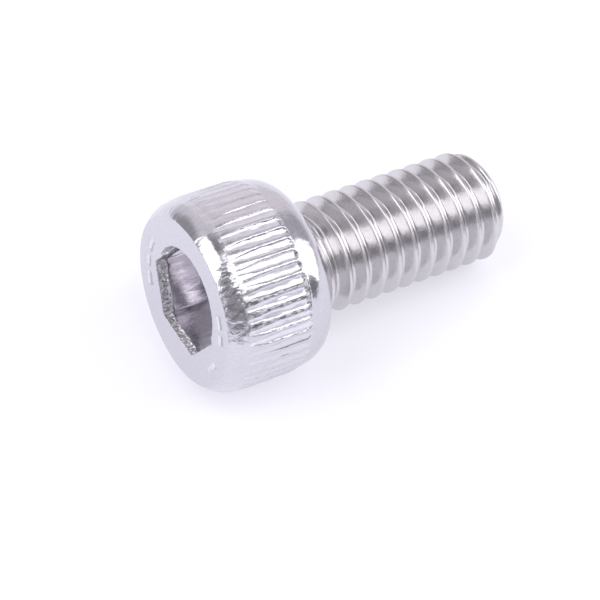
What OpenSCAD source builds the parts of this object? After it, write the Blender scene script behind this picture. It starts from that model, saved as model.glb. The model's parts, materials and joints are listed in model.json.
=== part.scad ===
// Socket head cap screw with a knurled head and a full thread, lying on its side.
//
// The screw is one solid. It is first drawn upright about the Z axis, with the bearing
// face under its head at z = 0, its head below that and its shank above it. Then it is
// laid down: two ridges of the knurl and a crest near the tip touch the floor, and the
// shank points towards +X.

/* [Thread] */
// Outside diameter of the thread
thread_d = 6; // [5:0.1:7]
// Distance from one crest of the thread to the next
thread_pitch = 1; // [0.8:0.05:1.25]
// Length of the shank, from the bearing face to the tip
shank_length = 12; // [9:0.5:40]
// Length of the 45 degree chamfer at the tip
tip_chamfer = 0.7; // [0.4:0.05:1]
// Plain neck between the bearing face and the start of the thread
neck_length = 0.4; // [0.2:0.05:1.5]
// Height of the fillet between the neck and the bearing face
neck_fillet = 0.3; // [0.15:0.05:0.5]
// How far the fillet's foot stands out past the thread, measured from the axis
fillet_clearance = 0.15; // [0.05:0.05:0.4]
// Length over which the thread grows from nothing to its full depth
thread_runout = 1.2; // [0.5:0.1:3]
// How far the crests are moved along the shank, as a share of the pitch
thread_phase = 0.37; // [0:0.01:0.99]

/* [Head] */
// Diameter of the head over the knurl's ridges
head_d = 10.2; // [9.6:0.1:12]
// Height of the head, from the bearing face to its flat end
head_height = 6; // [5.5:0.1:8]
// Depth of the round at the head's flat end, measured towards the axis
front_round_depth = 0.53; // [0.3:0.01:0.8]
// Length of the same round along the axis
front_round_length = 0.9; // [0.5:0.05:1.2]
// Depth of the round next to the bearing face, measured towards the axis
rear_round_depth = 0.63; // [0.3:0.01:0.8]
// Length of the same round along the axis
rear_round_length = 1.75; // [0.6:0.05:1.9]
// How far that round turns inwards before it meets the bearing face
rear_round_turn = 71; // [45:1:90]

/* [Knurl] */
// How far the knurl's ridges stand out from the smooth metal on either side of them
ridge_rise = 0.1; // [0.05:0.01:0.18]
// Length of the slope at the front end of the ridges
front_slope = 0.3; // [0.1:0.05:0.6]
// Length of the slope at the rear end of the ridges
rear_slope = 0.1; // [0.05:0.01:0.4]
// Number of grooves round the head
groove_count = 51; // [40:1:56]
// Radius of the round bottom of a groove
groove_radius = 0.3; // [0.15:0.01:0.35]
// Depth of a groove at its rear end
groove_depth = 0.14; // [0.08:0.01:0.2]
// Distance from the ridges' rear edge to the centre of a groove's round end
groove_setback = 0.06; // [0.04:0.01:0.2]
// Angle at which a groove runs out towards the head's flat end
groove_runout = 1.6; // [0:0.1:2.5]

/* [Socket] */
// Width of the hexagon socket across its flats
socket_width = 5; // [4:0.1:5.5]
// Depth of the socket's flat walls
socket_depth = 3; // [2:0.1:3.4]
// Angle of the cone at the socket's bottom
socket_cone = 140; // [120:5:170]
// Width of the ledge round the cone, at the middle of a flat wall
socket_ledge = 0.1; // [0.05:0.05:0.3]
// How far the round chamfer at the mouth is cut back from the middles of the flats
mouth_chamfer = 0.26; // [0.1:0.02:0.5]
// How far the chamfer is off the socket's centre
mouth_offset = 0.3; // [0:0.05:0.4]
// Direction of that offset, turned from the floor
mouth_turn = 195; // [0:5:355]
// How far the socket's corners are turned from the floor
socket_turn = 32; // [0:1:59]

/* [Hidden] */

steel = [0.66, 0.65, 0.7];
arc_steps = 8;
turn_steps = 36;
$fn = 72;

// Thread section, as shares of one pitch along the axis: the ISO 60 degree form.
flank_angle = 30;
thread_depth = 0.6134 * thread_pitch;
crest_width = thread_pitch / 8;
flank_width = thread_depth * tan(flank_angle);
root_width = thread_pitch - crest_width - 2 * flank_width;
crest_radius = thread_d / 2;
root_radius = crest_radius - thread_depth;
// A rolled thread starts from a blank about as thick as the thread's middle.
blank_radius = crest_radius - thread_depth / 2;

// Corners of one turn's section, as [distance along the axis, radius].
thread_section = [
    [0, root_radius],
    [root_width, root_radius],
    [root_width + flank_width, crest_radius],
    [root_width + flank_width + crest_width, crest_radius]
];
corners = len(thread_section);
first_crest = root_width + flank_width + crest_width / 2;

// The threaded bar starts inside the head and ends beyond the tip, where it is cut off.
bar_start = (thread_phase - 1) * thread_pitch - first_crest;
bar_turns = ceil((shank_length - bar_start) / thread_pitch) + 2;
bar_rows = bar_turns * corners;

head_radius = head_d / 2;
land_radius = head_radius - ridge_rise;
face_radius = land_radius - front_round_depth;
knurl_front = front_round_length - head_height + front_slope;
knurl_rear = -rear_round_length - rear_slope;
tip_radius = crest_radius - tip_chamfer;

// Half axes of the ellipse that the round next to the bearing face follows.
rear_half_depth = rear_round_depth / (1 - cos(rear_round_turn));
rear_half_length = rear_round_length / sin(rear_round_turn);

// Quarter of an ellipse as [radius, z] points, from the angle a to the angle b.
function round_points(centre, size, a, b) = [
    for (i = [0 : arc_steps])
        let (t = a + (b - a) * i / arc_steps)
        [centre[0] + size[0] * cos(t), centre[1] + size[1] * sin(t)]
];

head_outline = concat(
    [[0, 0], [0, -head_height]],
    round_points(
        [face_radius, front_round_length - head_height],
        [front_round_depth, front_round_length], -90, 0
    ),
    [[head_radius, knurl_front], [head_radius, knurl_rear]],
    round_points(
        [land_radius - rear_half_depth, -rear_round_length],
        [rear_half_depth, rear_half_length], 0, rear_round_turn
    )
);

// Edges of the crests on the floor's side, and of the tip, as [radius, z] points.
function chamfered(r, z) = min(r, tip_radius + shank_length - z);
shank_outline = concat(
    [
        for (turn = [1 : bar_turns], side = [-1, 1])
            let (z = bar_start + first_crest + turn * thread_pitch + side * crest_width / 2)
            if (z > thread_runout + neck_length && z < shank_length)
                [chamfered(crest_radius, z), z]
    ],
    [[tip_radius, shank_length]]
);

// The head stays on the floor and the shank comes down until its first point touches.
tilt = min([
    for (q = shank_outline)
        max([for (p = head_outline) atan2(p[0] - q[0], q[1] - p[1])])
]);
axis_height = max([for (q = shank_outline) q[0] * cos(tilt) + q[1] * sin(tilt)]);
// Reach of the lying screw along X, which puts the middle of its length at the origin.
reach_front = min([for (p = head_outline) p[1] * cos(tilt) - p[0] * sin(tilt)]);
reach_tip = max(
    shank_length * cos(tilt) + tip_radius * sin(tilt),
    (shank_length - tip_chamfer) * cos(tilt) + crest_radius * sin(tilt)
);

// Share of the full thread depth that is reached at the height z.
function thread_share(z) = min(1, max(0, (z - neck_length) / thread_runout));

// Point of the bar's surface at one corner of the section and one step of a turn.
function bar_point(row, step) =
    let (
        corner = thread_section[row % corners],
        // Half a step off, so that a flat between two points faces the floor.
        turn = (step + 0.5) / turn_steps,
        z = bar_start + thread_pitch * (floor(row / corners) + turn) + corner[0],
        r = blank_radius + (corner[1] - blank_radius) * thread_share(z)
    )
    [r * cos(360 * turn), r * sin(360 * turn), z];

// Number of a point: the last step of a turn meets the first step one pitch higher.
function bar_index(row, step) =
    step < turn_steps ? row * turn_steps + step : (row + corners) * turn_steps;

// Right-hand thread as one closed surface that winds up the bar.
module threaded_bar() {
    points = concat(
        [for (row = [0 : bar_rows - 1], step = [0 : turn_steps - 1]) bar_point(row, step)],
        [
            [0, 0, bar_start - thread_pitch / 2],
            [0, 0, bar_start + (bar_turns + 0.25) * thread_pitch]
        ]
    );
    start_centre = bar_rows * turn_steps;
    end_centre = start_centre + 1;
    start_rim = concat(
        [for (step = [0 : turn_steps - 1]) bar_index(0, step)],
        [for (row = [corners : -1 : 1]) bar_index(row, 0)]
    );
    last = bar_rows - 1;
    end_rim = concat(
        [for (step = [0 : turn_steps - 1]) bar_index(last, step)],
        [for (row = [last - 1 : -1 : last - corners]) bar_index(row, turn_steps - 1)]
    );
    faces = concat(
        [
            for (step = [0 : turn_steps - 1])
                let (rows = step < turn_steps - 1 ? last : last - corners)
                for (row = [0 : rows - 1])
                    let (
                        a = bar_index(row, step),
                        b = bar_index(row, step + 1),
                        c = bar_index(row + 1, step + 1),
                        d = bar_index(row + 1, step)
                    )
                    each [[a, d, c], [a, c, b]]
        ],
        [
            for (i = [0 : len(start_rim) - 1])
                [start_centre, start_rim[i], start_rim[(i + 1) % len(start_rim)]]
        ],
        [
            for (i = [0 : len(end_rim) - 1])
                [end_centre, end_rim[(i + 1) % len(end_rim)], end_rim[i]]
        ]
    );
    polyhedron(points = points, faces = faces);
}

// Turned blank that the threaded bar is cut to: it gives the tip its chamfer and end.
module shank_blank() {
    clear = thread_pitch / 4;
    rotate_extrude()
        polygon([
            [0, -2.5 * thread_pitch],
            [crest_radius + clear, -2.5 * thread_pitch],
            [crest_radius + clear, shank_length - tip_chamfer - clear],
            [tip_radius, shank_length],
            [0, shank_length]
        ]);
}

// Fillet under the head. Its foot is wider than the thread, and its top is inside it.
module neck() {
    foot = crest_radius + fillet_clearance;
    top = 0.98 * blank_radius;
    rotate_extrude()
        polygon(concat(
            [[0, neck_fillet], [0, -neck_fillet], [foot, -neck_fillet]],
            round_points([foot, neck_fillet], [foot - top, neck_fillet], -90, -180)
        ));
}

module shank() {
    intersection() {
        threaded_bar();
        shank_blank();
    }
    neck();
}

// One groove of the knurl, with a round rear end, running out towards the flat end.
module groove() {
    length = head_height;
    centre = [head_radius - groove_depth + groove_radius, 0, knurl_rear - groove_setback];
    translate(centre)
        rotate([0, -groove_runout, 0]) {
            sphere(r = groove_radius);
            translate([0, 0, -length])
                cylinder(h = length, r = groove_radius);
        }
}

module head() {
    difference() {
        rotate_extrude() polygon(head_outline);
        for (i = [0 : groove_count - 1])
            rotate([0, 0, 360 * i / groove_count]) groove();
    }
}

// Space of the hexagon socket, with the chamfer at its mouth and the cone at its bottom.
module socket() {
    corner_radius = socket_width / sqrt(3);
    inner_radius = socket_width / 2;
    mouth_radius = inner_radius + mouth_chamfer;
    mouth_depth = mouth_chamfer + mouth_offset;
    cone_radius = inner_radius - socket_ledge;
    cone_height = cone_radius / tan(socket_cone / 2);
    spare = 0.5;
    translate([0, 0, -head_height]) {
        rotate([0, 0, socket_turn])
            translate([0, 0, -spare])
                cylinder(h = socket_depth + spare, r = corner_radius, $fn = 6);
        // The drilled hole that the hexagon is pressed into, with its cone.
        rotate_extrude()
            polygon([
                [0, socket_depth / 2],
                [cone_radius, socket_depth / 2],
                [cone_radius, socket_depth],
                [0, socket_depth + cone_height]
            ]);
        rotate([0, 0, mouth_turn])
            translate([mouth_offset, 0, -spare])
                cylinder(
                    h = mouth_depth + spare,
                    r1 = mouth_radius + spare,
                    r2 = mouth_radius - mouth_depth
                );
    }
}

module upright_screw() {
    difference() {
        union() {
            head();
            shank();
        }
        socket();
    }
}

module cap_screw() {
    color(steel)
        translate([-(reach_front + reach_tip) / 2, 0, axis_height])
            rotate([0, 90 + tilt, 0])
                upright_screw();
}

cap_screw();
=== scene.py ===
"""Looks of a knurled socket head cap screw that lies on its side on a pale studio floor.

The screw is one mesh, built ring by ring about its own axis in millimetres and then laid
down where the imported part's mounts say. In that upright frame z runs along the axis, with
the bearing face at 0, the head below it and the tip at the shank's length. The front is
the head's flat end. Angles turn about the axis, and 0 faces the floor.
"""
import json
import math

import bmesh
import bpy
import numpy as np
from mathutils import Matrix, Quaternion, Vector, noise


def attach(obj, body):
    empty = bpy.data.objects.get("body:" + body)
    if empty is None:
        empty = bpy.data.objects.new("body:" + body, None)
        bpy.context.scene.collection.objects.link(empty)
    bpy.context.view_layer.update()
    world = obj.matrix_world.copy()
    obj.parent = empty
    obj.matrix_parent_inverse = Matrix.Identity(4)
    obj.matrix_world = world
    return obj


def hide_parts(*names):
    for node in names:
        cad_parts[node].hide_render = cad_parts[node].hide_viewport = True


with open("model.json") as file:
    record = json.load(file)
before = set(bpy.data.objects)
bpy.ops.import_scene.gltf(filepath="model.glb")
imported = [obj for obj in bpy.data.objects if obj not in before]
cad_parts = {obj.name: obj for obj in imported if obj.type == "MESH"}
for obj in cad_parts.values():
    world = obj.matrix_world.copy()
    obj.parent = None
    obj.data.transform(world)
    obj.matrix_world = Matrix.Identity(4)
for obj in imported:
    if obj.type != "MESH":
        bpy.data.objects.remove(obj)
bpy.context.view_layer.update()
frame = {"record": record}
mounts = {mount["name"]: mount for mount in frame["record"]["mounts"]}

MM = 0.001
FULL_TURN = 2 * math.pi

# ---------------------------------------------------------------- sizes, in millimetres
SHANK_LENGTH = mounts["thread"]["dims"]["length_mm"]
THREAD_RADIUS = mounts["thread"]["dims"]["r_mm"]
SOCKET_DEPTH = mounts["socket"]["dims"]["length_mm"]

HEAD_HEIGHT = 6.0
PLAIN_RADIUS = 5.0          # of the head without its knurl
# The two rounds of the head follow ellipses. Each has the height where its ellipse starts,
# the ellipse's half length and half depth, and its radius there.
FRONT_ROUND = (-4.85, 1.35, 1.18, 5.04)
REAR_ROUND = (-1.45, 1.5, 0.904, PLAIN_RADIUS)
FRONT_SWELL = 0.02          # the most that the front round stands past the plain radius
# The front round is scratched between two angles in degrees, behind a line that starts at
# a height and comes forward by a millimetre in so many degrees.
SCUFFED_ARC = (-157, -108)
SCUFFED_FRONT = -5.45
SCUFFED_LEAN = 30

RIDGE_RISE = 0.1            # how far the knurl stands out
KNURL_FRONT = -5.09         # its front edge
EDGE_STRAY = 0.04           # how far that edge strays in wide waves, and in narrow ones
FINE_EDGE_STRAY = 0.02
FRONT_STEP = 0.2            # share of the rise that comes at once, where it isn't worn
FRONT_STEP_LENGTH = 0.06
FRONT_SLOPE = 0.8           # length of the slope to the full rise
KNURL_REAR = -1.46
REAR_STEP = 0.08            # length of the step at the rear edge
REAR_SLOPE = 0.4            # length of the slope before that step
REAR_FALL = 0.8             # share of the rise that this slope takes away

GROOVES = 51
HALF_PITCH = math.pi / GROOVES
GROOVE_DEPTH = 0.11
GROOVE_REAR = -1.74         # where a groove's sloped rear end starts
GROOVE_END_LENGTH = 0.26
GROOVE_END_MARGIN = 0.04    # so much of that end still has the finish of the groove
GROOVE_FRONT = -5.06        # where its narrow front end begins
GROOVE_STRAY = 0.15         # how far the front ends stray, and the length of their step
GROOVE_STEP = 0.15
GROOVE_TAPER = 1.6          # length over which it grows to its full width and depth
NARROW_FRONT = 0.5          # share of its width at the front end and at the rear end
NARROW_REAR = 0.4
SHALLOW_FRONT = 0.3         # share of its depth at the front end
# Half of a groove's section: distance from its middle as a share of half the knurl's
# pitch, depth as a share of the groove's depth, and the finish up to the next point. The
# walls' finish is painted shade.
GROOVE_SECTION = [
    (0.0, 1.0, "groove"), (0.2, 0.97, "groove"), (0.4, 0.87, "groove"),
    (0.55, 0.72, "groove"), (0.66, 0.54, "wall"), (0.75, 0.26, "wall"),
    (0.84, -0.04, "ridge"), (1.0, 0.0, "ridge"),
]
WANDER = 0.14               # share of its width by which a groove's sides stray
FINE_WANDER = 0.7 * WANDER
UNEVEN = 0.30               # how much its depth varies
BURR = 0.025                # depth of the nicks in the ridges
# The knurl is worn shallow on two sides: angle halfway between them, and the angles from
# there at which the wear starts, is full, starts to end and has ended, in degrees.
WORN_MIDDLE = -141
WORN_SIDES = (26, 56, 80, 105)
WORN_SHARE = 0.5            # share of a groove's depth that is worn away there
WORN_FRONT = 0.6            # how much further back a worn groove starts
# Around this angle, under the lamps' highlight in the knurl, the grooves' outer edges and
# rear ends get a rough dark finish, painted shade: middle, and the least and greatest
# distance from there, in degrees.
EDGE_SHADE_MIDDLE = -144
EDGE_SHADE_RANGE = (8, 28)

SOCKET_WIDTH = 5.0
SOCKET_TURN = math.radians(32)
SOCKET_CONE = math.radians(140)
SOCKET_LEDGE = 0.1          # width of the flat ledge around the cone
# The round chamfer at the mouth: how much its radius exceeds half the socket's width, how
# far its middle lies off the axis, and in which direction.
MOUTH_CHAMFER = 0.20
MOUTH_OFFSET = 0.46
MOUTH_TURN = math.radians(195)
# The punched walls are broken away near the mouth: by how much, how uneven, how deep on
# each wall from the hexagon's first corner on, how far that depth strays, and the length
# of the step back to the whole wall.
BROKEN_WALL = 0.06
BROKEN_ROUGH = 0.06
BROKEN_DEPTHS = (0.57, 0.60, 0.55, 0.50, 0.48, 0.42)
BROKEN_STRAY = 0.08
BROKEN_STEP = 0.09

# Shallow arcs cut into the flat end: middle angle and half of the angle each one spans,
# in degrees.
ARC_MARKS = [(67, 7), (84, 6), (103, 8), (-119, 6), (-103, 5), (-65, 8)]
ARC_RADIUS = 3.62
ARC_HALF_WIDTH = 0.13
ARC_SLOPE = 0.05            # width of an arc's sloped sides
ARC_DEPTH = 0.07

PITCH = 1.0
THREAD_DEPTH = 0.6134       # of a standard external thread, in pitches
THREAD_PHASE = 0.37
THREAD_RUNOUT = 1.2         # length over which it grows to its full depth
NECK_LENGTH = 0.4
NECK_SHARE = 0.98           # the neck's radius as a share of the rolled blank's
NECK_FILLET = 0.3
FILLET_CLEARANCE = 0.15
TIP_CHAMFER = 0.7
# Half of the thread's section: distance from the root's middle as a share of the pitch,
# and depth below the crest in pitches. The rolled crest has a shallow seam in its middle.
THREAD_SECTION = [
    (0.0, 0.608), (0.06, 0.600), (0.105, 0.570), (0.14, 0.522), (0.23, 0.367),
    (0.32, 0.212), (0.40, 0.075), (0.425, 0.032), (0.45, 0.006), (0.475, 0.010), (0.5, 0.028),
]

# ---------------------------------------------------------------- where the screw lies
axis = np.array(mounts["thread"]["axis"], float)
axis /= np.linalg.norm(axis)
tip_centre = np.array(mounts["thread"]["pos_m"], float) / MM
bearing_centre = tip_centre - SHANK_LENGTH * axis
across = np.array([0.0, 1.0, 0.0])
to_floor = np.cross(across, axis)


def laid_down(points):
    """Upright points in millimetres, as points of the part's own frame in metres."""
    points = np.asarray(points, float)
    return MM * (
        bearing_centre
        + points[:, 0:1] * to_floor
        + points[:, 1:2] * across
        + points[:, 2:3] * axis
    )


# ---------------------------------------------------------------- curves and noise
def on_circle(radius, angle):
    """The x and y of a point at a radius and an angle about the axis."""
    return radius * math.cos(angle), radius * math.sin(angle)


def turn_from(middle, angle):
    """Degrees from a middle, given in degrees, to an angle in radians."""
    return (math.degrees(angle) - middle + 180) % 360 - 180


def smoothstep(low, high, value):
    share = np.clip((value - low) / (high - low), 0.0, 1.0)
    return share * share * (3.0 - 2.0 * share)


def grown(least, share):
    """A factor that grows from its least value to 1 as a share goes from 0 to 1."""
    return least + (1.0 - least) * share


def rough(x, y, z, size, seed):
    """Smooth noise from -1 to 1 whose bumps are about `size` millimetres across."""
    return noise.noise(Vector((x / size + seed, y / size - seed, z / size + 2.0 * seed)))


# ---------------------------------------------------------------- mesh built from rings
class RingMesh:
    """Vertices, faces and materials of one mesh that is made of closed rings."""

    def __init__(self):
        self.points, self.faces, self.slots = [], [], []

    def ring(self, angles, radii, heights):
        """One ring of points. Radii and heights are one number or one for each angle."""
        start = len(self.points)
        radii = np.broadcast_to(radii, len(angles))
        heights = np.broadcast_to(heights, len(angles))
        for angle, radius, height in zip(angles, radii, heights):
            self.points.append((*on_circle(radius, angle), height))
        return list(range(start, start + len(angles)))

    def strip(self, ring_a, ring_b, slots):
        """Quads between two rings with the same number of points. `slots` is one finish,
        or one for each quad."""
        count = len(ring_a)
        slots = [slots] * count if isinstance(slots, str) else slots
        for i in range(count):
            j = (i + 1) % count
            self.face([ring_a[i], ring_a[j], ring_b[j], ring_b[i]], slots[i])

    def stitch(self, ring_a, angles_a, ring_b, angles_b, slot):
        """Triangles between two rings whose points stand at different angles."""
        i = j = 0
        while i < len(ring_a) or j < len(ring_b):
            next_a = angles_a[i + 1] if i + 1 < len(ring_a) else angles_a[0] + FULL_TURN
            next_b = angles_b[j + 1] if j + 1 < len(ring_b) else angles_b[0] + FULL_TURN
            a, b = ring_a[i % len(ring_a)], ring_b[j % len(ring_b)]
            if j >= len(ring_b) or (i < len(ring_a) and next_a <= next_b):
                self.face([a, ring_a[(i + 1) % len(ring_a)], b], slot)
                i += 1
            else:
                self.face([a, ring_b[(j + 1) % len(ring_b)], b], slot)
                j += 1

    def fan(self, ring, height, slot):
        """Triangles from a ring to a point on the axis."""
        self.points.append((0.0, 0.0, height))
        centre = len(self.points) - 1
        for i in range(len(ring)):
            self.face([ring[i], ring[(i + 1) % len(ring)], centre], slot)

    def face(self, corners, slot):
        self.faces.append(corners)
        self.slots.append(slot)


# ---------------------------------------------------------------- head
def plain_radius(height):
    """Radius of the head without its knurl."""
    front_start, front_length, front_depth, front_radius = FRONT_ROUND
    rear_start, rear_length, rear_depth, rear_radius = REAR_ROUND
    if height < front_start:
        share = (front_start - height) / front_length
        fall = front_depth * (1 - math.sqrt(1 - share * share))
        return min(front_radius - fall, PLAIN_RADIUS + FRONT_SWELL)
    share = max(0.0, height - rear_start) / rear_length
    return rear_radius - rear_depth * (1 - math.sqrt(1 - share * share))


FACE_RADIUS = plain_radius(-HEAD_HEIGHT)
BEARING_RADIUS = plain_radius(0.0)
FACE_BAND = 0.03            # width of the band of triangles around the flat end
BEARING_BAND = 0.05         # and around the bearing face

# Rows of the head's mesh. They are close together between these heights, where the knurl
# starts and ends, and get closer again towards the head's two ends.
FRONT_ROWS = (-5.19, -4.68)
REAR_ROWS = (-1.96, -1.36)
head_heights = np.concatenate([
    -HEAD_HEIGHT + (HEAD_HEIGHT + FRONT_ROWS[0]) * np.linspace(0, 1, 13)[:-1] ** 1.3,
    np.linspace(*FRONT_ROWS, 14),
    np.linspace(FRONT_ROWS[1], REAR_ROWS[0], 27)[1:],
    np.linspace(*REAR_ROWS, 14)[1:],
    REAR_ROWS[1] * (1 - np.linspace(0, 1, 16)[1:] ** 0.8),
])

# Columns of the head's mesh, as groove, side of its middle and point of its section.
last_point = len(GROOVE_SECTION) - 1
head_columns = [
    (groove, side, point)
    for groove in range(GROOVES)
    for side, points in ((-1, range(last_point - 1, 0, -1)), (1, range(last_point + 1)))
    for point in points
]


def wear(angle):
    """How worn the knurl is at an angle, from 0 to 1."""
    off = abs(turn_from(WORN_MIDDLE, angle))
    start, full, ends, ended = WORN_SIDES
    return smoothstep(start, full, off) * (1.0 - smoothstep(ends, ended, off))


def knurl_rise(x, y, height, worn):
    """How far the knurl stands out at a place of the head's side, from 0 to 1."""
    edge = KNURL_FRONT
    edge += EDGE_STRAY * rough(x, y, 0.0, size=0.4, seed=3.0)
    edge += FINE_EDGE_STRAY * rough(x, y, 0.0, size=0.13, seed=5.0)
    rise = grown(FRONT_STEP * (1.0 - worn), smoothstep(edge, edge + FRONT_SLOPE, height))
    rise *= smoothstep(edge, edge + FRONT_STEP_LENGTH, height)
    rise *= 1.0 - REAR_FALL * smoothstep(KNURL_REAR - REAR_SLOPE, KNURL_REAR, height)
    return rise * (1.0 - smoothstep(KNURL_REAR, KNURL_REAR + REAR_STEP, height))


def head_point(height, column):
    """Angle and radius of the head's side at one height and column."""
    groove, side, point = head_columns[column]
    share, deep, _ = GROOVE_SECTION[point]
    middle = 2 * HALF_PITCH * groove
    x, y = on_circle(PLAIN_RADIUS, middle)
    worn = wear(middle)
    front = GROOVE_FRONT + WORN_FRONT * worn
    front += GROOVE_STRAY * rough(x, y, 0.0, size=0.5, seed=21.0)
    taper = smoothstep(front, front + GROOVE_TAPER, height)
    rear_end = 1.0 - smoothstep(GROOVE_REAR, GROOVE_REAR + GROOVE_END_LENGTH, height)
    if point < last_point:
        stray = WANDER * rough(x + side, y, height, size=0.5, seed=7.0)
        stray += FINE_WANDER * rough(x + side, y, height, size=0.25, seed=9.0)
        share *= grown(NARROW_FRONT, taper) * grown(NARROW_REAR, rear_end) * (1.0 + stray)
    angle = middle + side * share * HALF_PITCH

    x, y = on_circle(PLAIN_RADIUS, angle)
    rise = knurl_rise(x, y, height, worn)
    if deep <= 0.0:
        nick = abs(rough(x, y, height, size=0.25, seed=11.0))
        rise *= 1.0 - BURR / RIDGE_RISE * nick
    depth = GROOVE_DEPTH * grown(SHALLOW_FRONT, taper) * rear_end * (1.0 - WORN_SHARE * worn)
    depth *= smoothstep(front, front + GROOVE_STEP, height)
    depth *= 1.0 + UNEVEN * rough(x + side, y, height, size=0.6, seed=23.0)
    return angle, plain_radius(height) + RIDGE_RISE * rise - depth * deep


def front_slot(height, angle):
    """Finish of the head's front round."""
    turn = turn_from(0, angle)
    line = SCUFFED_FRONT - (turn - SCUFFED_ARC[0]) / SCUFFED_LEAN
    scuffed = SCUFFED_ARC[0] < turn < SCUFFED_ARC[1] and height > line
    return "scuffed" if scuffed else "front"


def head_slot(height, column, angle):
    """Finish of the head's quad that ends at a height and starts at a column."""
    if height <= KNURL_FRONT:
        return front_slot(height, angle)
    if height > GROOVE_REAR + GROOVE_END_LENGTH:
        return "round"
    groove, side, point = head_columns[column]
    nearer = min(point, head_columns[(column + 1) % len(head_columns)][2])
    slot = GROOVE_SECTION[nearer][2]
    middle = 2 * HALF_PITCH * groove
    if wear(middle) > 0.5:
        return "shallow" if slot == "groove" else "ridge"
    # Painted shade under the knurl's highlight: nearby grooves get darker finishes on their sloped
    # rear ends and on the outer side of their walls and ridges.
    off = turn_from(EDGE_SHADE_MIDDLE, middle)
    near, far = EDGE_SHADE_RANGE
    if slot == "groove":
        if height < GROOVE_REAR + GROOVE_END_MARGIN:
            return slot
        return "torn" if abs(off) < near else "wall" if abs(off) < far else slot
    return "torn" if near < abs(off) < far and side * off > 0 else slot


def build_head(mesh):
    """The head's side. Gives its first and its last ring, each with its angles."""
    columns = range(len(head_columns))
    rings = []
    for height in head_heights:
        points = [head_point(height, column) for column in columns]
        angles = [angle for angle, _ in points]
        ring = mesh.ring(angles, [radius for _, radius in points], height)
        if rings:
            slots = [head_slot(height, column, angles[column]) for column in columns]
            mesh.strip(rings[-1][0], ring, slots)
        rings.append((ring, angles))
    return rings[0], rings[-1]


# ---------------------------------------------------------------- flat end and socket
SIXTH = FULL_TURN / 6
NOISE_RADIUS = 3.0          # the mouth's noise is taken on a circle of this radius
SOCKET_COLUMNS = 300
# Depths of the rows on the socket's walls, closest where they are broken.
SOCKET_ROWS = (
    0.02, 0.06, 0.12, 0.19, 0.26, 0.33, 0.40, 0.48, 0.57, 0.68, 0.8, 1.1, 1.5, 2.0, 2.5, 2.9, 3.0
)
socket_angles = sorted(
    (FULL_TURN * column / SOCKET_COLUMNS + SOCKET_TURN) % FULL_TURN
    for column in range(SOCKET_COLUMNS)
)


def hexagon_radius(angle):
    return SOCKET_WIDTH / 2 / math.cos((angle - SOCKET_TURN) % SIXTH - SIXTH / 2)


def broken_depth(angle):
    """How deep the socket's wall is broken away at an angle."""
    wall = int((angle - SOCKET_TURN) % FULL_TURN / SIXTH) % 6
    x, y = on_circle(NOISE_RADIUS, angle)
    return BROKEN_DEPTHS[wall] + BROKEN_STRAY * rough(x, y, 0.0, size=0.4, seed=19.0)


def mouth_radius(angle, depth):
    """Outline of the hexagon joined with the round chamfer, at a depth below the face."""
    x, y = on_circle(NOISE_RADIUS, angle)
    broken = 0.5 * rough(x, y, depth, size=0.3, seed=13.0)
    broken += 0.5 * rough(x, y, depth, size=0.12, seed=17.0)
    edge = broken_depth(angle)
    open_share = 1.0 - smoothstep(edge - BROKEN_STEP, edge, depth)
    hexagon = hexagon_radius(angle) + open_share * (BROKEN_WALL + BROKEN_ROUGH * broken)
    chamfer = SOCKET_WIDTH / 2 + MOUTH_CHAMFER - depth
    along, off = on_circle(MOUTH_OFFSET, angle - MOUTH_TURN)
    circle = along + math.sqrt(max(chamfer ** 2 - off ** 2, 0.0))
    return max(hexagon, circle + BROKEN_ROUGH * broken)


def mouth_slot(angle, radius, depth):
    """Finish of the socket's wall, where it has a radius at a depth below the face."""
    if depth > broken_depth(angle):
        return "socket"
    on_chamfer = radius > hexagon_radius(angle) + BROKEN_WALL + BROKEN_ROUGH
    # The chamfer gets the darkest finish, which adds painted shade to its broken rim.
    return "torn" if on_chamfer else "mouth"


def in_mark(angle):
    """Whether one of the arc marks spans an angle."""
    return any(abs(turn_from(middle, angle)) < half for middle, half in ARC_MARKS)


def build_face(mesh, head_ring, head_angles):
    """The flat end with its arc marks. Gives the ring at the socket's mouth."""
    last = mesh.ring(socket_angles, FACE_RADIUS - FACE_BAND, -HEAD_HEIGHT)
    mesh.stitch(head_ring, head_angles, last, socket_angles, "face")
    inner, outer = ARC_RADIUS - ARC_HALF_WIDTH, ARC_RADIUS + ARC_HALF_WIDTH
    # Radius of each ring around the marks, and whether it is at their bottom.
    rings = [
        (4.1, False), (outer, False), (outer - ARC_SLOPE, True),
        (ARC_RADIUS, True), (inner + ARC_SLOPE, True), (inner, False),
    ]
    last_cut = [False] * SOCKET_COLUMNS
    for radius, at_bottom in rings:
        cut = [at_bottom and in_mark(angle) for angle in socket_angles]
        heights = [ARC_DEPTH - HEAD_HEIGHT if deep else -HEAD_HEIGHT for deep in cut]
        ring = mesh.ring(socket_angles, radius, heights)
        # The arc marks take the grooves' lighter finish, a painted highlight.
        slots = ["groove" if any(pair) else "face" for pair in zip(cut, last_cut)]
        mesh.strip(last, ring, slots)
        last, last_cut = ring, cut
    mouth = np.array([mouth_radius(angle, 0.0) for angle in socket_angles])
    for share in (0.5, 0.2, 0.06, 0.0):
        ring = mesh.ring(socket_angles, mouth + share * (inner - mouth), -HEAD_HEIGHT)
        mesh.strip(last, ring, "face")
        last = ring
    return last


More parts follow.
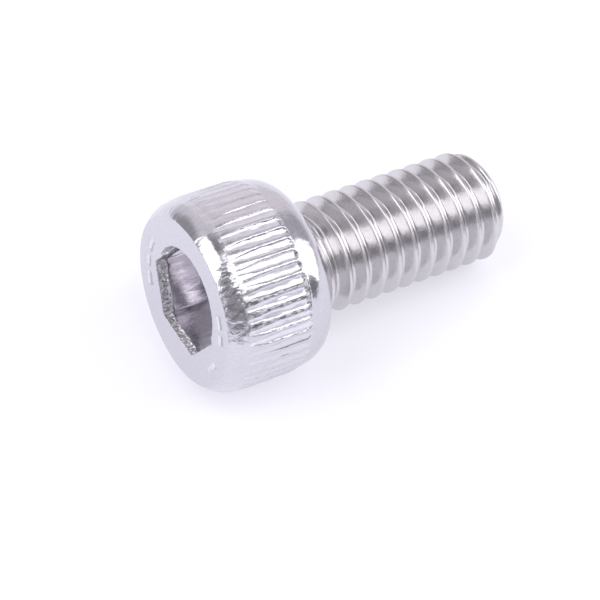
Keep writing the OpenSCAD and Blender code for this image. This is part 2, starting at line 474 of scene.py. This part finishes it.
def build_socket(mesh, mouth_ring):
    """The socket's walls, its ledge and its cone."""
    last = mouth_ring
    for depth in SOCKET_ROWS:
        radii = [mouth_radius(angle, depth) for angle in socket_angles]
        ring = mesh.ring(socket_angles, radii, depth - HEAD_HEIGHT)
        slots = [mouth_slot(*place, depth) for place in zip(socket_angles, radii)]
        mesh.strip(last, ring, slots)
        last = ring
    bottom = SOCKET_DEPTH - HEAD_HEIGHT
    cone_radius = SOCKET_WIDTH / 2 - SOCKET_LEDGE
    cone_depth = cone_radius / math.tan(SOCKET_CONE / 2)
    for share in (1.0, 0.9, 0.6, 0.3):
        height = bottom + (1 - share) * cone_depth
        ring = mesh.ring(socket_angles, share * cone_radius, height)
        mesh.strip(last, ring, "socket")
        last = ring
    mesh.fan(last, bottom + cone_depth, "socket")


# ---------------------------------------------------------------- shank
THREAD_COLUMNS = 108
SPARE_TURNS = 2             # turns of the helix before and after the shank
BLANK_RADIUS = THREAD_RADIUS - THREAD_DEPTH / 2 * PITCH
TIP_RADIUS = THREAD_RADIUS - TIP_CHAMFER
TIP_RINGS = (2.2, 1.5, 0.7)

section = [(share, THREAD_RADIUS - PITCH * depth) for share, depth in THREAD_SECTION]
section += [(1.0 - share, radius) for share, radius in section[-2:0:-1]]
section_shares = [share for share, _ in section] + [1.0]
section_radii = [radius for _, radius in section] + [section[0][1]]


def thread_radius(angle, height):
    """Radius of the threaded shank's surface at an angle and a height."""
    turns = height / PITCH - THREAD_PHASE + 0.5 - angle / FULL_TURN
    radius = np.interp(turns % 1.0, section_shares, section_radii)
    share = min(1.0, max(0.0, (height - NECK_LENGTH) / THREAD_RUNOUT))
    radius = BLANK_RADIUS + (radius - BLANK_RADIUS) * share
    return min(radius, TIP_RADIUS + SHANK_LENGTH - height)


def build_thread(mesh):
    """The threaded surface. Its rows follow the helix. They are clamped to the neck and
    the tip, and the points that then fall together are merged at the end."""
    first = THREAD_PHASE - 0.5 - SPARE_TURNS
    levels = [
        (first + turn + share) * PITCH
        for turn in range(int(SHANK_LENGTH / PITCH) + 2 * SPARE_TURNS)
        for share in section_shares[:-1]
    ]
    levels = [level for level in levels if NECK_LENGTH - PITCH < level < SHANK_LENGTH]
    start = len(mesh.points)
    columns = THREAD_COLUMNS + 1
    for level in levels:
        for column in range(columns):
            angle = FULL_TURN * column / THREAD_COLUMNS
            height = level + PITCH * angle / FULL_TURN
            height = min(SHANK_LENGTH, max(NECK_LENGTH, height))
            mesh.points.append((*on_circle(thread_radius(angle, height), angle), height))
    for row in range(len(levels) - 1):
        for column in range(THREAD_COLUMNS):
            corner = start + row * columns + column
            mesh.face([corner, corner + 1, corner + columns + 1, corner + columns], "thread")


def build_shank(mesh, head_ring, head_angles):
    """The bearing face, the fillet and neck below it, the thread and the tip."""
    angles = [FULL_TURN * column / THREAD_COLUMNS for column in range(THREAD_COLUMNS)]
    ring = mesh.ring(angles, BEARING_RADIUS - BEARING_BAND, 0.0)
    mesh.stitch(head_ring, head_angles, ring, angles, "round")
    fillet_radius = THREAD_RADIUS + FILLET_CLEARANCE
    neck_radius = NECK_SHARE * BLANK_RADIUS
    for turn in np.radians([0, 20, 40, 60, 80, 90]):
        radius = fillet_radius - (fillet_radius - neck_radius) * math.sin(turn)
        height = NECK_FILLET * (1 - math.cos(turn))
        last, ring = ring, mesh.ring(angles, radius, height)
        mesh.strip(last, ring, "thread")
    build_thread(mesh)
    radii = [thread_radius(angle, NECK_LENGTH) for angle in angles]
    mesh.strip(ring, mesh.ring(angles, radii, NECK_LENGTH), "thread")
    last = mesh.ring(angles, TIP_RADIUS, SHANK_LENGTH)
    for radius in TIP_RINGS:
        ring = mesh.ring(angles, radius, SHANK_LENGTH)
        mesh.strip(last, ring, "thread")
        last = ring
    mesh.fan(last, SHANK_LENGTH, "thread")


# ---------------------------------------------------------------- materials
def add_node(tree, kind, inputs, **attributes):
    """A new node. Each input gets a value, or the output of another node."""
    node = tree.nodes.new(kind)
    for name, value in attributes.items():
        setattr(node, name, value)
    for name, value in inputs.items():
        if isinstance(value, bpy.types.NodeSocket):
            tree.links.new(value, node.inputs[name])
        else:
            node.inputs[name].default_value = value
    return node


def noise_output(tree, place, scale, detail):
    inputs = {"Vector": place, "Scale": scale, "Detail": detail}
    return add_node(tree, "ShaderNodeTexNoise", inputs).outputs["Fac"]


def range_output(tree, value, span, onto=(0.0, 1.0), **attributes):
    """A value's place in a span, carried over onto another span."""
    inputs = {
        "Value": value, "From Min": span[0], "From Max": span[1],
        "To Min": onto[0], "To Max": onto[1],
    }
    return add_node(tree, "ShaderNodeMapRange", inputs, **attributes).outputs["Result"]


def mix_output(tree, share, colour_a, colour_b):
    inputs = {"Factor": share, "A": colour_a, "B": colour_b}
    return add_node(tree, "ShaderNodeMix", inputs, data_type="RGBA").outputs["Result"]


def bump_output(tree, height, distance, normal=None):
    """Normals of a bump, on top of other normals where there are any."""
    inputs = {"Height": height, "Strength": 1.0, "Distance": distance}
    if normal is not None:
        inputs["Normal"] = normal
    return add_node(tree, "ShaderNodeBump", inputs).outputs["Normal"]


STEEL = (0.66, 0.65, 0.70)
ROUGHNESS_SPAN = (0.88, 1.12)   # as shares of a finish's own roughness
BRIGHT_SHARE = 1.03             # the brightest that a finish gets, as a share of its colour: painted light on the bumps' tops
DENTS_SCALE = 0.3               # dents in a metre, as a share of the bumps in a metre
NOISE_SPAN = (0.3, 0.7)         # the part of the noise's range that it mostly stays in
PIT_SHADE_SPAN = (0.35, 0.6)         # the part of the noise over which the colour goes from painted shade in the bump's hollows to painted light on its tops


def steel(name, roughness, bump, grain, dents, stretch=1.0, colour=STEEL, dark=0.96):
    """Bright steel with fine roughness and bump noise. `grain` is in bumps per metre, and
    below 1 `stretch` draws the bumps out into lines along the screw. `dents` is the height
    of wider, shallow unevenness. Both heights are in millimetres. The colour follows the
    bumps, with painted shade down to `dark` times itself in their hollows and a little
    painted light on their tops."""
    material = bpy.data.materials.new(name)
    material.use_nodes = True
    tree = material.node_tree
    shader = tree.nodes["Principled BSDF"]
    shader.inputs["Metallic"].default_value = 1.0

    place = add_node(tree, "ShaderNodeTexCoord", {}).outputs["Object"]
    inputs = {"Vector": place, "Angle": math.atan2(axis[2], axis[0])}
    along = add_node(tree, "ShaderNodeVectorRotate", inputs, rotation_type="Y_AXIS")
    inputs = {0: along.outputs["Vector"], 1: (stretch, 1.0, 1.0)}
    drawn = add_node(tree, "ShaderNodeVectorMath", inputs, operation="MULTIPLY")
    grains = noise_output(tree, drawn.outputs["Vector"], grain, detail=3.0)
    wide = noise_output(tree, drawn.outputs["Vector"], DENTS_SCALE * grain, detail=1.0)

    rough_span = [share * roughness for share in ROUGHNESS_SPAN]
    darkest = (*[dark * c for c in colour], 1.0)
    brightest = (*[min(1.0, BRIGHT_SHARE * c) for c in colour], 1.0)
    # Painted shade and light: the colour is darker where the bump is low and brighter where it is
    # high.
    pit_shade = range_output(tree, grains, PIT_SHADE_SPAN)
    dented = bump_output(tree, wide, dents * MM)
    outputs = {
        "Roughness": range_output(tree, grains, NOISE_SPAN, onto=rough_span),
        "Base Color": mix_output(tree, pit_shade, darkest, brightest),
        "Normal": bump_output(tree, grains, bump * MM, normal=dented),
    }
    for socket, output in outputs.items():
        tree.links.new(output, shader.inputs[socket])
    return material


# Roughness, bump, grain and dents of each finish, and where it isn't the usual one, its
# stretch, colour and dark. Each finish's dark is painted shade in its bumps' hollows.
FINISHES = {
    # Painted shade: a slightly darker copy of the steel.
    "front": steel("steel_front", 0.14, 0.012, 6000, 0.03, stretch=0.2, colour=(0.64, 0.63, 0.67)),
    "scuffed": steel("steel_scuffed", 0.16, 0.045, 5000, 0.04, stretch=0.4, dark=0.6),
    # Painted highlight: a lighter copy of the steel that whitens the lobes in the grooves and the
    # arc marks on the flat end.
    "groove": steel(
        "steel_groove_highlight", 0.36, 0.010, 9000, 0.01, stretch=0.4, colour=(0.79, 0.78, 0.83)
    ),
    "shallow": steel(
        "steel_shallow", 0.30, 0.012, 9000, 0.02, stretch=0.4, colour=(0.68, 0.67, 0.71)
    ),
    # Painted shade: a darker mottle on the grooves' steep walls and on some of their rear ends.
    "wall": steel("steel_wall_shade", 0.24, 0.050, 9000, 0.03, stretch=0.5, dark=0.5),
    # Painted shade: a dark, rough copy of the steel beside the knurl's lobes, at the grooves' rear
    # ends and on the socket mouth's chamfer.
    "torn": steel(
        "steel_tear_and_shade", 0.30, 0.050, 7000, 0.03, stretch=0.5, colour=(0.54, 0.54, 0.57), dark=0.3
    ),
    # Painted shade: a slightly darker copy of the steel.
    "ridge": steel("steel_ridge", 0.22, 0.012, 9000, 0.02, stretch=0.5, colour=(0.63, 0.62, 0.66)),
    # Painted shade: a slightly darker copy of the steel.
    "round": steel("steel_round", 0.15, 0.005, 7000, 0.010, colour=(0.61, 0.60, 0.64)),
    "face": steel("steel_face", 0.24, 0.010, 8000, 0.015, colour=(0.65, 0.64, 0.69), dark=0.93),
    # Painted light and shade: a much lighter copy of the steel for the sparkle of the broken band
    # inside the mouth, with deep painted shade in its hollows.
    "mouth": steel("steel_mouth_glint", 0.22, 0.070, 9000, 0.06, colour=(0.90, 0.90, 0.92), dark=0.42),
    # Painted light: a lighter copy of the steel that lifts the shade inside the socket.
    "socket": steel(
        "steel_socket_lit", 0.17, 0.005, 8000, 0.02, stretch=0.3, colour=(0.76, 0.74, 0.78)
    ),
    # Painted shade: a slightly darker copy of the steel, for the shank's own shadow.
    "thread": steel("steel_thread", 0.21, 0.003, 7000, 0.006, colour=(0.65, 0.635, 0.65)),
}


# ---------------------------------------------------------------- the screw
MERGE_DISTANCE = 0.0002     # in millimetres
LEAST_EDGE = 0.0001


def clean(data):
    """Merges points that fall together, drops faces with no area, turns all faces
    outwards and shades them smooth."""
    work = bmesh.new()
    work.from_mesh(data)
    bmesh.ops.remove_doubles(work, verts=work.verts, dist=MERGE_DISTANCE * MM)
    bmesh.ops.dissolve_degenerate(work, edges=work.edges, dist=LEAST_EDGE * MM)
    bmesh.ops.recalc_face_normals(work, faces=work.faces)
    for face in work.faces:
        face.smooth = True
    work.to_mesh(data)
    work.free()


def build_screw():
    mesh = RingMesh()
    face_end, bearing_end = build_head(mesh)
    mouth_ring = build_face(mesh, *face_end)
    build_socket(mesh, mouth_ring)
    build_shank(mesh, *bearing_end)
    data = bpy.data.meshes.new("cap_screw_body")
    data.from_pydata([tuple(point) for point in laid_down(mesh.points)], [], mesh.faces)
    for material in FINISHES.values():
        data.materials.append(material)
    names = list(FINISHES)
    data.polygons.foreach_set("material_index", [names.index(slot) for slot in mesh.slots])
    clean(data)
    screw = bpy.data.objects.new("cap_screw_body", data)
    bpy.context.collection.objects.link(screw)
    return screw


screw = build_screw()
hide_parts("cap_screw")
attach(screw, "root")

# ---------------------------------------------------------------- floor
FLOOR_SIZE = 3.0
FLOOR_COLOUR = (0.59, 0.60, 0.625, 1.0)
# The camera and the steel see the floor a little brighter, so that it is white away from
# the shadow. This adds no light to the object.
FLOOR_LIFT = 0.45
LIFT_COLOUR = (1.0, 0.985, 1.07, 1.0)


def floor_material():
    material = bpy.data.materials.new("floor_white")
    material.use_nodes = True
    tree = material.node_tree
    shader = tree.nodes["Principled BSDF"]
    shader.inputs["Base Color"].default_value = FLOOR_COLOUR
    shader.inputs["Roughness"].default_value = 0.9
    shader.inputs["Specular IOR Level"].default_value = 0.0
    shader.inputs["Emission Color"].default_value = LIFT_COLOUR
    path = add_node(tree, "ShaderNodeLightPath", {})
    seen = path.outputs["Is Camera Ray"]
    for ray in ("Is Glossy Ray", "Is Transmission Ray"):
        inputs = {0: seen, 1: path.outputs[ray]}
        seen = add_node(tree, "ShaderNodeMath", inputs, operation="MAXIMUM").outputs["Value"]
    lift = add_node(tree, "ShaderNodeMath", {0: seen, 1: FLOOR_LIFT}, operation="MULTIPLY")
    tree.links.new(lift.outputs["Value"], shader.inputs["Emission Strength"])
    return material


def build_floor():
    half = FLOOR_SIZE / 2
    data = bpy.data.meshes.new("floor")
    corners = [(-half, -half, 0.0), (half, -half, 0.0), (half, half, 0.0), (-half, half, 0.0)]
    data.from_pydata(corners, [], [(0, 1, 2, 3)])
    data.materials.append(floor_material())
    floor = bpy.data.objects.new("floor", data)
    bpy.context.collection.objects.link(floor)


build_floor()


# ---------------------------------------------------------------- light
def direction(azimuth, elevation):
    """Unit vector towards a compass angle from +X and a height angle, both in degrees."""
    a, e = math.radians(azimuth), math.radians(elevation)
    return Vector((math.cos(e) * math.cos(a), math.cos(e) * math.sin(a), math.sin(e)))


def softbox(name, azimuth, elevation, width, height, roll, radiance, distance=0.5):
    """A soft lamp that faces the screw. Its width and height are the angles that it spans
    as seen from there, in degrees as the other angles."""
    lamp = bpy.data.lights.new(name, "AREA")
    lamp.shape = "RECTANGLE"
    lamp.size = 2 * distance * math.tan(math.radians(width / 2))
    lamp.size_y = 2 * distance * math.tan(math.radians(height / 2))
    lamp.energy = radiance * math.pi * lamp.size * lamp.size_y
    lamp_object = bpy.data.objects.new(name, lamp)
    towards = direction(azimuth, elevation)
    lamp_object.location = distance * towards
    rolled = towards.to_track_quat("Z", "Y") @ Quaternion((0.0, 0.0, 1.0), math.radians(roll))
    lamp_object.rotation_euler = rolled.to_euler()
    bpy.context.collection.objects.link(lamp_object)


softbox("softbox_right", -38, 44.6, width=36.6, height=79, roll=30, radiance=1.6)
softbox("softbox_left", 167, 47.5, width=36.5, height=60, roll=13, radiance=1.6)

ROOM_COLOUR = (0.80, 0.77, 0.83)
# The room's brighter and darker places: azimuth, elevation, and the radii at which their
# colour starts to fade and has faded, in degrees, and the colour.
ROOM_PATCHES = [
    (40, 15, 10, 50, (0.95, 0.90, 0.95)),
    (5, 30, 12, 28, (0.52, 0.51, 0.56)),
    (-118, 25, 28, 52, (0.40, 0.39, 0.41)),
    (128, 18, 10, 34, (0.39, 0.37, 0.39)),
    (36, 68, 4, 18, (0.42, 0.405, 0.425)),
    (-52, 9, 9, 20, (0.24, 0.235, 0.26)),
    (100, 76, 7, 17, (0.30, 0.29, 0.31)),
    (-150, 60, 6, 16, (0.42, 0.41, 0.43)),
]


def build_world():
    """A pale grey studio room with a brighter place and several darker ones."""
    world = bpy.data.worlds.new("studio")
    bpy.context.scene.world = world
    world.use_nodes = True
    tree = world.node_tree
    background = tree.nodes["Background"]
    background.inputs["Strength"].default_value = 1.0
    towards = add_node(tree, "ShaderNodeTexCoord", {}).outputs["Generated"]
    room = add_node(tree, "ShaderNodeRGB", {}).outputs[0]
    room.default_value = (*ROOM_COLOUR, 1.0)
    for azimuth, elevation, full, faded, colour in ROOM_PATCHES:
        inputs = {0: towards, 1: direction(azimuth, elevation)}
        dot = add_node(tree, "ShaderNodeVectorMath", inputs, operation="DOT_PRODUCT")
        span = np.cos(np.radians([faded, full]))
        share = range_output(
            tree, dot.outputs["Value"], span, interpolation_type="SMOOTHSTEP"
        )
        room = mix_output(tree, share, room, (*colour, 1.0))
    tree.links.new(room, background.inputs["Color"])


build_world()

# ---------------------------------------------------------------- camera
VIEW_AZIMUTH = -120.0
VIEW_ELEVATION = 51.2
VIEW_DISTANCE = 0.117       # in metres, as the lengths below
FIELD_WIDTH = 0.0306        # width of the picture at the screw
AIM_RIGHT = 0.000712        # how far right and up of the bearing face the camera aims
AIM_UP = -0.00168


def build_camera():
    data = bpy.data.cameras.new("camera")
    data.clip_start = 0.001
    data.lens = data.sensor_width * VIEW_DISTANCE / FIELD_WIDTH
    camera = bpy.data.objects.new("camera", data)
    bpy.context.collection.objects.link(camera)
    towards = direction(VIEW_AZIMUTH, VIEW_ELEVATION)
    turn = towards.to_track_quat("Z", "Y")
    right, up = turn @ Vector((1, 0, 0)), turn @ Vector((0, 1, 0))
    centre = Vector(bearing_centre * MM)
    place = centre + VIEW_DISTANCE * towards
    aim = centre + AIM_RIGHT * right + AIM_UP * up
    camera.location = place
    camera.rotation_euler = (place - aim).to_track_quat("Z", "Y").to_euler()
    bpy.context.scene.camera = camera


build_camera()
bpy.context.scene.view_settings.view_transform = "Standard"
